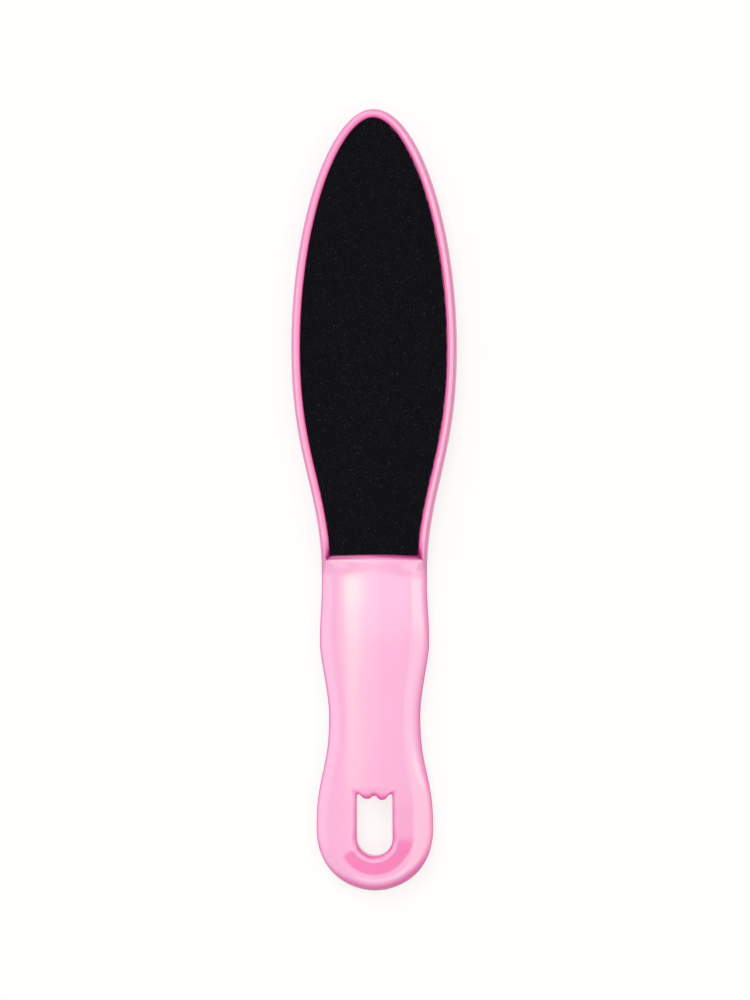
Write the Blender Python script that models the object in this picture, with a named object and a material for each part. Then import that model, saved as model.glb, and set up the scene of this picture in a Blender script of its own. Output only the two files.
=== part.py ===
"""A foot file: a moulded plastic paddle with an abrasive sheet let into each face.

Lengths are in metres. The paddle lies on its back: X runs across it, Y from the handle's end to the
tip and Z up through its thickness. The pieces are drawn with Y = 0 at the handle's end and Z = 0 at
the mid plane, and hang on one empty that puts the middle of the resting paddle over the origin.
"""

import math

import bmesh
import bpy
import numpy as np

# Outline: where the paddle is widest and narrowest, station by station from the handle's end
END_TO_BULB = 0.0206
BULB_TO_WAIST = 0.0363
WAIST_TO_SWELL = 0.0236
SWELL_TO_NECK = 0.0212
NECK_TO_WIDEST = 0.0751
WIDEST_TO_TIP = 0.0782
BULB_WIDTH = 0.0381
WAIST_WIDTH = 0.0298
SWELL_WIDTH = 0.0357
NECK_WIDTH = 0.0343
HEAD_WIDTH = 0.0541

# Thickness: half of it, at the rim's crest and the swell, and how far the face dips elsewhere
HALF_THICKNESS = 0.004
WAIST_DIP = 0.0003
NECK_DIP = 0.0001
COLLAR_HEIGHT = 0.00045

# How far in from the outline the edge goes on rolling, round the bulb, the grip and the rim
BULB_ROLL = 0.004
GRIP_ROLL = 0.0145
RIM_ROLL = 0.0012

# Rim and recess of the head
RIM_WIDTH = 0.0025
RIM_BREAK_WIDTH = 0.0003
RIM_BREAK_DEPTH = 0.00045
NECK_TO_RECESS = 0.0067

# Layers of each abrasive sheet, from the recess floor outwards
FILM_THICKNESS = 0.00015
CLOTH_THICKNESS = 0.0004
GRIT_THICKNESS = 0.0004
LAYER_GAP = 0.0003
RIM_STAND = 0.00055  # the rim's crest over the grit
SHEET_SIDE_CLEARANCE = 0.0007
SHEET_END_CLEARANCE = 0.00115

# Hanging slot
SLOT_FROM_END = 0.0112
SLOT_LENGTH = 0.0199
SLOT_WIDTH = 0.0122
SLOT_CORNER = 0.0006
SCALLOP_DEPTH = 0.0014
SCALLOP_MIDDLE_DROP = 0.0004
SLOT_ROUND_WIDTH = 0.0012
SLOT_ROUND_DEPTH = 0.0008

# Raised collar round the slot's lower half
COLLAR_CREST_OFFSET = 0.0018  # from the slot's edge out to the crest
COLLAR_REACH = 0.006  # from the slot's edge out to the foot of the slope
COLLAR_RUN = 0.009  # up the slot's straight sides
COLLAR_SINK = 0.00015  # how far its ends and foot go below the face

OVERRUN = 0.001  # of every cut past the face that it goes through

# Tangent lengths of the outline's curves: along the end and the tip as shares of the half widths,
# elsewhere as shares of the distance between the two stations, lower one first
END_TANGENT_SHARES = (0.385, 0.755)
BULB_TANGENT_SHARES = (0.476, 0.498)
WAIST_TANGENT_SHARES = (0.313, 0.184)
SWELL_TANGENT_SHARES = (0.427, 0.457)
NECK_TANGENT_SHARES = (0.388, 0.488)
TIP_TANGENT_SHARES = (0.536, 0.52)

# Roundness of the rolled edge: 2 is an ellipse, more is squarer
BULB_ROUNDNESS = 2.3
GRIP_ROUNDNESS = 2.6
RIM_ROUNDNESS = 2.1

# Steps along each curve of the outline, from the handle's end to the tip
CURVE_STEPS = (14, 8, 6, 5, 13, 18)
FINE_STEPS = 40
HEAD_STEPS = 36
TIP_CROWDING = 1.5  # over 1 puts the head's points closer together towards the tip
FACE_COLUMNS = 6
SLOT_ARC_STEPS = 20
SCALLOP_STEPS = 20
ROUND_STEPS = 3
COLLAR_ARC_STEPS = 20
COLLAR_RUN_STEPS = 5
SHARP_ANGLE = math.radians(35)

# Edge rings: across the rim's roll, then on past the recess wall, as shares of the rim's roll
EDGE_RING_SHARES = (0, 0.05, 0.2, 0.5, 1, 2.7, 4.3)

# Places that several pieces share
bulb_y = END_TO_BULB
waist_y = bulb_y + BULB_TO_WAIST
swell_y = waist_y + WAIST_TO_SWELL
neck_y = swell_y + SWELL_TO_NECK
widest_y = neck_y + NECK_TO_WIDEST
length = widest_y + WIDEST_TO_TIP
recess_y = neck_y + NECK_TO_RECESS
sheet_y = recess_y + SHEET_END_CLEARANCE
sheet_inset = RIM_WIDTH + SHEET_SIDE_CLEARANCE
film_depth = LAYER_GAP + FILM_THICKNESS
cloth_depth = LAYER_GAP + CLOTH_THICKNESS
grit_depth = LAYER_GAP + GRIT_THICKNESS
recess_depth = RIM_STAND + grit_depth + cloth_depth + film_depth
floor_z = HALF_THICKNESS - recess_depth
bulb_half_thickness = HALF_THICKNESS - COLLAR_HEIGHT


def clear_scene():
    for old in list(bpy.data.objects):
        bpy.data.objects.remove(old, do_unlink=True)


def plastic(name, colour, roughness, coat):
    material = bpy.data.materials.new(name)
    material.use_nodes = True
    shader = material.node_tree.nodes["Principled BSDF"]
    shader.inputs["Base Color"].default_value = (*colour, 1)
    shader.inputs["Roughness"].default_value = roughness
    shader.inputs["Metallic"].default_value = 0
    shader.inputs["Coat Weight"].default_value = coat
    material.diffuse_color = (*colour, 1)
    return material


def smooth_step(low, high, value):
    """From 0 at low to 1 at high, level at both."""
    t = np.clip((value - low) / (high - low), 0, 1)
    return t * t * (3 - 2 * t)


def smooth_between(y, places, values):
    """The values at the places, joined smoothly and level at each place."""
    result = np.full(np.shape(y), float(values[0]))
    for step in range(len(places) - 1):
        rise = values[step + 1] - values[step]
        result = result + rise * smooth_step(places[step], places[step + 1], y)
    return result


def curve(corners, steps):
    """Points and directions of a cubic curve with these four corners."""
    start, leave, arrive, end = (np.array(corner, float) for corner in corners)
    t = np.linspace(0, 1, steps + 1)[:, None]
    s = 1 - t
    points = s**3 * start + 3 * s**2 * t * leave + 3 * s * t**2 * arrive + t**3 * end
    directions = s**2 * (leave - start) + 2 * s * t * (arrive - leave) + t**2 * (end - arrive)
    return points, directions


def half_outline(steps):
    """Points of the right half from the handle's end to the tip, and the way in at each."""
    stations = [
        (BULB_WIDTH / 2, bulb_y),
        (WAIST_WIDTH / 2, waist_y),
        (SWELL_WIDTH / 2, swell_y),
        (NECK_WIDTH / 2, neck_y),
        (HEAD_WIDTH / 2, widest_y),
    ]
    side_shares = [
        BULB_TANGENT_SHARES,
        WAIST_TANGENT_SHARES,
        SWELL_TANGENT_SHARES,
        NECK_TANGENT_SHARES,
    ]
    (bulb_x, _), (widest_x, _) = stations[0], stations[-1]
    leave, arrive = END_TANGENT_SHARES
    end_curve = [(0, 0), (leave * bulb_x, 0), (bulb_x, bulb_y - arrive * bulb_y), (bulb_x, bulb_y)]
    curves = [end_curve]
    for (x0, y0), (x1, y1), (leave, arrive) in zip(stations, stations[1:], side_shares):
        run = y1 - y0
        curves.append([(x0, y0), (x0, y0 + leave * run), (x1, y1 - arrive * run), (x1, y1)])
    leave, arrive = TIP_TANGENT_SHARES
    shoulder = (widest_x, widest_y + leave * WIDEST_TO_TIP)
    curves.append([(widest_x, widest_y), shoulder, (arrive * widest_x, length), (0, length)])

    points, directions = [], []
    for corners, count in zip(curves, steps):
        part_points, part_directions = curve(corners, count)
        points.append(part_points[:-1])
        directions.append(part_directions[:-1])
    points.append(part_points[-1:])
    directions.append(part_directions[-1:])
    points = np.concatenate(points)
    directions = np.concatenate(directions)
    directions /= np.linalg.norm(directions, axis=1)[:, None]
    inward = np.column_stack([-directions[:, 1], directions[:, 0]])
    return points, inward


def both_sides(half):
    """A closed loop, anticlockwise, from a right half whose two ends lie on the middle line."""
    mirrored = half[-2:0:-1] * np.array([-1, 1])
    return np.concatenate([half, mirrored])


def distance_from_edge(points):
    """How far each point lies from the nearest stretch of the outline."""
    fine = both_sides(half_outline([FINE_STEPS] * len(CURVE_STEPS))[0])
    start, end = fine, np.roll(fine, -1, axis=0)
    along = end - start
    offset = points[:, None] - start
    share = np.clip((offset * along).sum(2) / (along**2).sum(1), 0, 1)
    gap = offset - share[..., None] * along
    return np.linalg.norm(gap, axis=2).min(1)


def face_height(depth, y):
    """Height of the face over the mid plane, this deep inside the outline.

    The edge is a quarter of a superellipse, as wide as the roll at that place along the paddle and
    as high as the face there, and past the roll the face is level.
    """
    top = smooth_between(
        y,
        (bulb_y, waist_y, swell_y, neck_y, recess_y),
        (
            bulb_half_thickness,
            HALF_THICKNESS - WAIST_DIP,
            HALF_THICKNESS,
            HALF_THICKNESS - NECK_DIP,
            HALF_THICKNESS,
        ),
    )
    places = (bulb_y, waist_y, neck_y, recess_y)
    roll = smooth_between(y, places, (BULB_ROLL, GRIP_ROLL, GRIP_ROLL, RIM_ROLL))
    power = smooth_between(
        y, places, (BULB_ROUNDNESS, GRIP_ROUNDNESS, GRIP_ROUNDNESS, RIM_ROUNDNESS)
    )
    left = 1 - np.clip(depth / roll, 0, 1)
    return top * (1 - left**power) ** (1 / power)


def head_outline(inset, bottom):
    """The head's outline, drawn in by the inset and cut square at the bottom."""
    points, inward = half_outline([FINE_STEPS] * len(CURVE_STEPS))
    upper = points[:, 1] >= neck_y
    side = points[upper] + inset * inward[upper]
    corner_x = np.interp(bottom, side[:, 1], side[:, 0])
    side = np.concatenate([[(corner_x, bottom)], side[side[:, 1] > bottom]])
    run = np.concatenate([[0], np.cumsum(np.linalg.norm(np.diff(side, axis=0), axis=1))])
    places = run[-1] * (1 - (1 - np.linspace(0, 1, HEAD_STEPS + 1)) ** TIP_CROWDING)
    right = np.column_stack([np.interp(places, run, side[:, 0]), np.interp(places, run, side[:, 1])])
    right[-1, 0] = 0
    left = right[-2::-1] * np.array([-1, 1])
    return np.concatenate([right, left])


def slot_outline(grow):
    """The slot's outline, let out by the growth: a round bottom, straight sides, a scalloped top.

    The top hangs down in two lobes, the square of a sine from corner to corner, and its middle
    peak is a little lower than the two at the corners.
    """
    half = SLOT_WIDTH / 2 + grow
    centre_y = SLOT_FROM_END + SLOT_WIDTH / 2
    top_y = SLOT_FROM_END + SLOT_LENGTH + grow
    angles = np.linspace(-math.pi, 0, SLOT_ARC_STEPS + 1)
    bottom = np.column_stack([half * np.cos(angles), centre_y + half * np.sin(angles)])
    across = np.linspace(1, -1, SCALLOP_STEPS + 1)
    lobes = SCALLOP_DEPTH * np.sin(math.pi * across) ** 2
    middle = SCALLOP_MIDDLE_DROP * (1 - np.abs(across))
    top = np.column_stack([across * (half - SLOT_CORNER), top_y - lobes - middle])
    right_corner = [(half, top_y - SLOT_CORNER)]
    left_corner = [(-half, top_y - SLOT_CORNER)]
    return np.concatenate([bottom, right_corner, top, left_corner])


def new_object(name, mesh_data, material, parent):
    mesh = bpy.data.meshes.new(name)
    mesh_data.to_mesh(mesh)
    mesh_data.free()
    mesh.materials.append(material)
    mesh.shade_smooth()
    mesh.set_sharp_from_angle(angle=SHARP_ANGLE)
    made = bpy.data.objects.new(name, mesh)
    bpy.context.collection.objects.link(made)
    made.parent = parent
    return made


def add_loop(mesh_data, points, heights):
    """The vertices of a closed loop, at one height or at one for each point."""
    heights = np.broadcast_to(heights, len(points))
    return [mesh_data.verts.new((x, y, z)) for (x, y), z in zip(points, heights)]


def add_skin(mesh_data, lower, upper):
    """Four-sided faces between two loops with as many points each."""
    count = len(lower)
    for index in range(count):
        after = (index + 1) % count
        mesh_data.faces.new((lower[index], lower[after], upper[after], upper[index]))


def stacked_rings(rings):
    """A closed body from (outline, height) rings, lowest first, with a flat cap at each end."""
    mesh_data = bmesh.new()
    loops = [add_loop(mesh_data, outline, height) for outline, height in rings]
    for lower, upper in zip(loops, loops[1:]):
        add_skin(mesh_data, lower, upper)
    mesh_data.faces.new(loops[0][::-1])
    mesh_data.faces.new(loops[-1])
    bmesh.ops.recalc_face_normals(mesh_data, faces=mesh_data.faces)
    return mesh_data


def make_cutter(name, mesh_data, material, parent):
    cutter = new_object(name, mesh_data, material, parent)
    cutter.hide_render = True
    cutter.display_type = "WIRE"
    return cutter


def add_boolean(target, name, operation, other):
    modifier = target.modifiers.new(name, "BOOLEAN")
    modifier.operation = operation
    modifier.solver = "EXACT"
    modifier.object = other


def blank_paddle():
    """The paddle before it is cut: edge rings front and back, and a ruled face across each side."""
    half, inward = half_outline(CURVE_STEPS)
    mesh_data = bmesh.new()
    loops = []
    offsets = [share * RIM_ROLL for share in EDGE_RING_SHARES]
    sides = [(depth, -1) for depth in offsets[:0:-1]] + [(depth, 1) for depth in offsets]
    for depth, side in sides:
        ring = half + depth * inward
        ring[[0, -1], 0] = 0
        outline = both_sides(ring)
        height = side * face_height(depth, outline[:, 1])
        loops.append(add_loop(mesh_data, outline, height))
    for lower, upper in zip(loops, loops[1:]):
        add_skin(mesh_data, lower, upper)
    for loop, side in ((loops[0], -1), (loops[-1], 1)):
        fill_face(mesh_data, loop, side, len(half))
    bmesh.ops.recalc_face_normals(mesh_data, faces=mesh_data.faces)
    return mesh_data


def fill_face(mesh_data, loop, side, count):
    """Rungs from each point of the loop's right half to its mirror image, and faces between them."""
    right = loop[:count]
    left = [loop[0], *loop[: count - 1 : -1], loop[count - 1]]
    shares = np.linspace(1, -1, FACE_COLUMNS + 1)[1:-1]
    rungs = [[right[0]] * (FACE_COLUMNS + 1)]
    for east, west in zip(right[1:-1], left[1:-1]):
        points = np.column_stack([shares * east.co.x, np.full(len(shares), east.co.y)])
        heights = side * face_height(distance_from_edge(points), points[:, 1])
        inner = [mesh_data.verts.new((x, y, z)) for (x, y), z in zip(points, heights)]
        rungs.append([east, *inner, west])
    rungs.append([right[-1]] * (FACE_COLUMNS + 1))
    for lower, upper in zip(rungs, rungs[1:]):
        for column in range(FACE_COLUMNS):
            corners = [lower[column], lower[column + 1], upper[column + 1], upper[column]]
            mesh_data.faces.new(list(dict.fromkeys(corners)))


def recess_cutter():
    """The space that each sheet lies in, its mouth let out to break the rim's inner edge."""
    slope = RIM_BREAK_WIDTH / RIM_BREAK_DEPTH
    break_z = HALF_THICKNESS - RIM_BREAK_DEPTH
    above = slope * (RIM_BREAK_DEPTH + OVERRUN)
    mouth = head_outline(RIM_WIDTH - above, recess_y - above)
    wall = head_outline(RIM_WIDTH, recess_y)
    return stacked_rings([(wall, floor_z), (wall, break_z), (mouth, HALF_THICKNESS + OVERRUN)])


def slot_cutter():
    """The slot, its mouths rounded to a quarter of an ellipse at both faces."""
    rings = []
    for angle in np.linspace(0, math.pi / 2, ROUND_STEPS + 1):
        grow = SLOT_ROUND_WIDTH * (1 - math.cos(angle))
        height = HALF_THICKNESS - SLOT_ROUND_DEPTH * (1 - math.sin(angle))
        rings.append((slot_outline(grow), height))
    rings.append((slot_outline(SLOT_ROUND_WIDTH + OVERRUN), HALF_THICKNESS + OVERRUN))
    lower = [(outline, -height) for outline, height in rings[::-1]]
    return stacked_rings(lower + rings)


def collar():
    """The raised collar round the slot's lower half, swept from one side of the slot to the other.

    Its top falls straight from the crest to a foot just below the face, inwards to the slot and
    outwards to the bulb's edge, and the whole of it sinks below the face at its two ends.
    """
    radius = SLOT_WIDTH / 2
    centre_y = SLOT_FROM_END + radius
    run = np.linspace(COLLAR_RUN, 0, COLLAR_RUN_STEPS, endpoint=False)
    angles = np.linspace(math.pi, 2 * math.pi, COLLAR_ARC_STEPS + 1)
    ways = np.concatenate([
        np.tile([-1, 0], (len(run), 1)),
        np.column_stack([np.cos(angles), np.sin(angles)]),
        np.tile([1, 0], (len(run), 1)),
    ])
    bases = np.concatenate([run, np.zeros(len(angles)), run[::-1]])
    foot = bulb_half_thickness - COLLAR_SINK
    slope = COLLAR_HEIGHT / (COLLAR_REACH - COLLAR_CREST_OFFSET)
    foot_offset = COLLAR_REACH + COLLAR_SINK / slope
    profile = [
        (-SLOT_ROUND_WIDTH, foot),
        (COLLAR_CREST_OFFSET, HALF_THICKNESS),
        (foot_offset, foot),
        (foot_offset, foot - OVERRUN),
        (-SLOT_ROUND_WIDTH, foot - OVERRUN),
    ]
    mesh_data = bmesh.new()
    loops = []
    for way, base in zip(ways, bases):
        fade = smooth_step(0, COLLAR_RUN, COLLAR_RUN - base)
        loop = []
        for offset, height in profile:
            x, y = (radius + offset) * way + np.array([0, centre_y + base])
            top = foot + fade * (height - foot) if height > foot else height
            loop.append(mesh_data.verts.new((x, y, top)))
        loops.append(loop)
    for before, after in zip(loops, loops[1:]):
        add_skin(mesh_data, before, after)
    mesh_data.faces.new(loops[0])
    mesh_data.faces.new(loops[-1][::-1])
    bmesh.ops.recalc_face_normals(mesh_data, faces=mesh_data.faces)
    return mesh_data


def make_paddle(parent):
    pink = plastic("pink_plastic", (0.95, 0.45, 0.66), 0.25, 0.5)
    body = new_object("paddle_body", blank_paddle(), pink, parent)
    for face, turn in (("front", 0), ("rear", math.pi)):
        ring = make_cutter(f"{face}_collar_guide", collar(), pink, parent)
        ring.rotation_euler.y = turn
        add_boolean(body, f"{face}_collar", "UNION", ring)
    for face, turn in (("front", 0), ("rear", math.pi)):
        recess = make_cutter(f"{face}_recess_cutter", recess_cutter(), pink, parent)
        recess.rotation_euler.y = turn
        add_boolean(body, f"{face}_recess", "DIFFERENCE", recess)
    slot = make_cutter("slot_cutter", slot_cutter(), pink, parent)
    add_boolean(body, "hanging_slot", "DIFFERENCE", slot)


def make_sheets(parent):
    """The film, the cloth and the grit coat of each face, stacked from the recess floor outwards."""
    outline = head_outline(sheet_inset, sheet_y)
    layers = (
        ("adhesive_film", FILM_THICKNESS, plastic("adhesive", (0.75, 0.66, 0.45), 0.5, 0)),
        ("backing_cloth", CLOTH_THICKNESS, plastic("backing", (0.07, 0.06, 0.06), 0.9, 0)),
        ("grit_coat", GRIT_THICKNESS, plastic("grit", (0.01, 0.01, 0.012), 0.8, 0)),
    )
    for face, turn in (("front", 0), ("rear", math.pi)):
        base = floor_z
        for layer, thickness, material in layers:
            base = base + LAYER_GAP
            plate = stacked_rings([(outline, base), (outline, base + thickness)])
            piece = new_object(f"{face}_{layer}", plate, material, parent)
            piece.rotation_euler.y = turn
            base = base + thickness


def main():
    clear_scene()
    resting = bpy.data.objects.new("resting_paddle", None)
    bpy.context.collection.objects.link(resting)
    resting.location = (0, -length / 2, HALF_THICKNESS)
    make_paddle(resting)
    make_sheets(resting)


main()
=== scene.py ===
import math

import bmesh
import bpy
import numpy as np
from mathutils import Matrix, Vector


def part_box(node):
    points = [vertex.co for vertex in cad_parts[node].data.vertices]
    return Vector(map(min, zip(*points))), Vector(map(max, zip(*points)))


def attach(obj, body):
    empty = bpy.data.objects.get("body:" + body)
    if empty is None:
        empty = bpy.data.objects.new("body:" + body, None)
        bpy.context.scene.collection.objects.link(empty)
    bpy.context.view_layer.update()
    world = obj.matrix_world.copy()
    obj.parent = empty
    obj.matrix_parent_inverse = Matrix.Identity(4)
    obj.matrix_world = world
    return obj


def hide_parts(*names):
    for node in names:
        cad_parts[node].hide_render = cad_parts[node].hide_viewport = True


# Foot file: a glossy pink moulded paddle with a sheet of black grit let into each face.
# Shapes are drawn in millimetres, with y = 0 at the handle's end and z = 0 at the mid plane,
# and are put into the frame by toFrame.

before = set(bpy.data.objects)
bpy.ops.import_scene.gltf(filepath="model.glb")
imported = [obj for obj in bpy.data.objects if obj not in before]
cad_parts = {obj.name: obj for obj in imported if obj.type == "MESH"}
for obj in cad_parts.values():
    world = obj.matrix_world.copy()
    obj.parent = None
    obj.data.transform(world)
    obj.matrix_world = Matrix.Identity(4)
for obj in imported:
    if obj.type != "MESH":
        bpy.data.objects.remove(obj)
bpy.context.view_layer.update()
print("frame loaded:", len(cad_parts), "solids")

mm = 0.001
bodyLow, bodyHigh = (np.array(corner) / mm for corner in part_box("paddle_body"))
paddleLength = bodyHigh[1] - bodyLow[1]
headWidth = bodyHigh[0] - bodyLow[0]
halfThickness = (bodyHigh[2] - bodyLow[2]) / 2
frameShift = np.array([0, bodyLow[1], bodyLow[2] + halfThickness])


def toFrame(points):
    return (points + frameShift) * mm


def nodeBox(node):
    # a solid's lowest and highest corners, in the drawing's millimetres
    return [np.array(corner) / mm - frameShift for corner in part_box(node)]


def newObject(name, data):
    made = bpy.data.objects.new(name, data)
    bpy.context.collection.objects.link(made)
    return made


# Camera: above the paddle and a little to its right, as far off as gives the picture its scale
cameraView = {
    "pictureSize": (750, 1000),  # px
    "paddleTopPx": 108.1,
    "paddleEndPx": 889.8,
    "paddleMiddlePx": (373.75, 498.95),
    "lens": 135,  # mm
    "sensor": 36,  # mm, along the picture's long side
    "fromRight": 2.5,  # degrees from straight above
    "lean": -0.11,  # degrees that the camera is turned about its own line of sight
    "clip": (0.05, 20),  # m, nearest and farthest
}


def makeCamera():
    view = cameraView
    width, height = view["pictureSize"]
    scale = paddleLength / (view["paddleEndPx"] - view["paddleTopPx"])
    distance = scale * height * view["lens"] / view["sensor"]
    middleX, middleY = view["paddleMiddlePx"]
    aside = ((width - 1) / 2 - middleX) * scale
    along = (middleY - (height - 1) / 2) * scale
    data = bpy.data.cameras.new("camera")
    data.lens = view["lens"]
    data.sensor_width = view["sensor"]
    data.clip_start, data.clip_end = view["clip"]
    camera = newObject("camera", data)
    turn = math.radians(view["fromRight"])
    right, up = distance * math.sin(turn), distance * math.cos(turn)
    camera.location = ((aside + right) * mm, along * mm, (up + halfThickness) * mm)
    camera.rotation_euler = (0, turn, math.radians(view["lean"]))
    bpy.context.scene.camera = camera
    print("camera", round(distance), "mm above the paddle")


# Outline of the paddle: six cubic curves, joined where the paddle is widest and narrowest
outline = {
    "bulb": (20.6, 38.1),  # mm from the handle's end, and the width there
    "waist": (56.9, 29.8),
    "swell": (80.5, 35.7),
    "neck": (101.7, 34.3),
    "widest": (176.8, headWidth),
    "endTangents": (0.385, 0.755),  # shares of the bulb's half width and of the run up to it
    "sideTangents": ((0.476, 0.498), (0.313, 0.184), (0.427, 0.457), (0.388, 0.488)),
    "tipTangents": (0.536, 0.52),  # shares of the run to the tip and of the head's half width
    "fineSteps": 120,  # points along each curve where a distance is measured
}


def outlineCorners():
    names = ("bulb", "waist", "swell", "neck", "widest")
    stations = [(outline[name][1] / 2, outline[name][0]) for name in names]
    (bulbX, bulbY), (widestX, widestY) = stations[0], stations[-1]
    leave, arrive = outline["endTangents"]
    corners = [[(0, 0), (leave * bulbX, 0), (bulbX, bulbY * (1 - arrive)), (bulbX, bulbY)]]
    for (x0, y0), (x1, y1), (leave, arrive) in zip(stations, stations[1:], outline["sideTangents"]):
        run = y1 - y0
        corners.append([(x0, y0), (x0, y0 + leave * run), (x1, y1 - arrive * run), (x1, y1)])
    leave, arrive = outline["tipTangents"]
    shoulder = (widestX, widestY + leave * (paddleLength - widestY))
    corners.append([(widestX, widestY), shoulder, (arrive * widestX, paddleLength), (0, paddleLength)])
    return np.array(corners)


curveCorners = outlineCorners()


def outlineAt(station):
    # Right half of the outline: the station's whole part picks the cubic curve, and the rest is the
    # place t along it. The way in is the direction of travel, a quarter turn to the left.
    pick = np.clip(station.astype(int), 0, len(curveCorners) - 1)
    t = (station - pick)[:, None]
    s = 1 - t
    a, b, c, d = np.moveaxis(curveCorners[pick], 1, 0)
    points = s**3 * a + 3 * s**2 * t * b + 3 * s * t**2 * c + t**3 * d
    ways = s**2 * (b - a) + 2 * s * t * (c - b) + t**2 * (d - c)
    ways /= np.linalg.norm(ways, axis=1)[:, None]
    return points, np.column_stack([-ways[:, 1], ways[:, 0]])


fineStations = np.linspace(0, len(curveCorners), len(curveCorners) * outline["fineSteps"] + 1)
finePoints, fineInward = outlineAt(fineStations)


def smoothStep(low, high, value):
    # 0 below low, 1 above high, and t^2 (3 - 2t) between, level at both ends
    t = np.clip((value - low) / (high - low), 0, 1)
    return t * t * (3 - 2 * t)


def smoothBetween(y, places, values):
    # from each value to the next as y goes from its place to the next one's; a value may vary itself
    result = values[0]
    for low, high, value in zip(places, places[1:], values[1:]):
        result = result + (value - result) * smoothStep(low, high, y)
    return result


def runAlong(points):
    # distance travelled along a row of points
    return np.concatenate([[0], np.cumsum(np.linalg.norm(np.diff(points, axis=0), axis=1))])


# Paddle: heights of its face, its rim and recess, its hanging slot and the collar round the slot
paddle = {
    "gripHeight": 3.9,  # mm over the mid plane, from the handle's end to the waist
    "dipHeight": 3.88,
    "swellTopY": 91.0,
    "dipY": 103.0,
    "crownRadius": 55.0,  # mm, of the grip's crown from side to side
    "crownPlaces": (102.4, 112.6),  # where the crown begins to flatten and where it is gone
    "edgeRolls": (4.4, 6.0, 1.3),  # mm from the outline that the edge goes on rolling: end, grip, rim
    "rollPlaces": (4.0, 16.0, 101.0, 111.0),  # between which the roll changes, and changes again
    "edgeRoundness": 2.1,  # 2 is an ellipse, more is squarer
    "partingRidge": 0.07,  # mm that the mould's parting line stands proud
    "partingRise": 0.2,  # mm from the parting line to where its ridge dies out
    "ridgeProfile": ((0, 0.6, 1), (0, 0.35, 1)),  # shares of the way in and of the way up
    "bandDepth": 1.35,  # mm from the outline to the end of the band that follows it
    "recessY": 109.7,
    "recessBreak": (1.75, 0.75),  # mm across and down, of the rounding at the recess's mouth
    "lipBreak": 2.1,  # mm across, of the same rounding at the recess's straight lower end
    "recessDraft": 0.03,  # mm that each face of the recess leans in down its wall
    "wallDrafts": (0.5, 1, 1.5, 3),  # shares of the draft at the wall's rings
    "wallDrops": (0.45, 0.86, 0.96, 1),  # shares of the way down at the same rings
    "floorUnderFilm": 0.3,
    "slotY": 11.38,
    "slotLength": 20.27,
    "slotWidth": 11.7,
    "slotCorner": 0.6,
    "cornerShare": 0.125,  # of the points along the top, that turn its corners
    "lobeDepth": 1.4,
    "lobeLean": 0.12,  # share by which the right lobe is deeper than the left
    "lobeFullness": 1.6,
    "middleDrop": 0.55,
    "lobeEase": 0.85,  # share of the lobes' depth that is gone where the mouth's rounding begins
    "mouthTop": (2.3, 1.2),  # mm across and down, of the rounding of the slot's edge
    "mouthSide": (1.4, 0.8),
    "mouthEnd": (1.8, 1.0),
    "mouthTurns": ((0.42, 0.62), (0.93, 1.0), (0.8, 1.0)),  # shares: end to side, to corner, along the top
    "collarCrest": 1.75,  # mm from the slot's edge
    "collarFoot": 6.0,
    "collarFillet": 0.5,
    "collarPlaces": (9.0, 25.0),  # where the collar begins to die out and where it is gone
    "rungY": 37.0,  # where the surface round the slot hands over to the grip's
    "endSteps": 44,
    "gripSteps": 76,
    "headSteps": 110,
    "columns": 60,
    "bandSteps": 14,
    "breakSteps": 5,
    "mouthSteps": 8,
    "slotSteps": 30,
    "wallSteps": 8,
    "tipCrowding": 1.5,
    "merge": 0.000003,  # m
    "sharpAngle": 40,  # degrees
}

neckY = outline["neck"][0]
mouthBottom = paddle["recessY"] - paddle["lipBreak"]
slotRadius = paddle["slotWidth"] / 2
slotCentreY = paddle["slotY"] + slotRadius
slotTopY = paddle["slotY"] + paddle["slotLength"]
crossShares = np.linspace(-1, 1, paddle["columns"] + 1)[1:-1]  # of the half width, without its ends


def faceHeight(depth, x, y):
    # A crown across the grip, top - x^2 / 2R, times a quarter of a superellipse from the outline
    # inwards, (1 - left^p)^(1/p), where left runs from 1 at the outline to 0 where the roll ends
    p = paddle
    places = (outline["waist"][0], p["swellTopY"], p["dipY"], p["recessY"])
    top = smoothBetween(y, places, (p["gripHeight"], halfThickness, p["dipHeight"], halfThickness))
    top = top - x**2 / (2 * p["crownRadius"]) * (1 - smoothStep(*p["crownPlaces"], y))
    endRoll, gripRoll, rimRoll = p["edgeRolls"]
    roll = smoothBetween(y, p["rollPlaces"], (endRoll, gripRoll, gripRoll, rimRoll))
    power = p["edgeRoundness"]
    left = 1 - np.clip(depth / roll, 0, 1)
    return top * (1 - left**power) ** (1 / power)


def distanceIn(x, y):
    # shortest distance from each point to the outline's right half, the left being its mirror image
    points = np.stack([np.abs(x), y], axis=-1).reshape(-1, 1, 2)
    start, along = finePoints[:-1], np.diff(finePoints, axis=0)
    offset = points - start
    share = np.clip((offset * along).sum(2) / (along**2).sum(1), 0, 1)
    gap = offset - share[..., None] * along
    return np.sqrt((gap**2).sum(2).min(1)).reshape(np.shape(x))


def slotDistance(x, y):
    # distance out from the slot's round end and straight sides
    past = np.where(y < slotCentreY, np.hypot(x, y - slotCentreY), np.abs(x))
    return past - slotRadius


def notBelowZero(value, ease):
    # the corner at 0 is eased over this far on both sides
    return np.where(np.abs(value) < ease, (value + ease) ** 2 / (4 * ease), np.maximum(value, 0))


def collarRise(x, y):
    # A cone round the slot: full height at the crest, falling straight to the foot, its two corners
    # eased, and dying out up the slot's sides
    p = paddle
    reach = p["collarFoot"] - p["collarCrest"]
    ease = p["collarFillet"] / reach
    slope = notBelowZero(1 - (slotDistance(x, y) - p["collarCrest"]) / reach, ease)
    fade = 1 - smoothStep(*p["collarPlaces"], y)
    return (halfThickness - p["gripHeight"]) * (1 - notBelowZero(1 - slope, ease)) * fade


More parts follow.
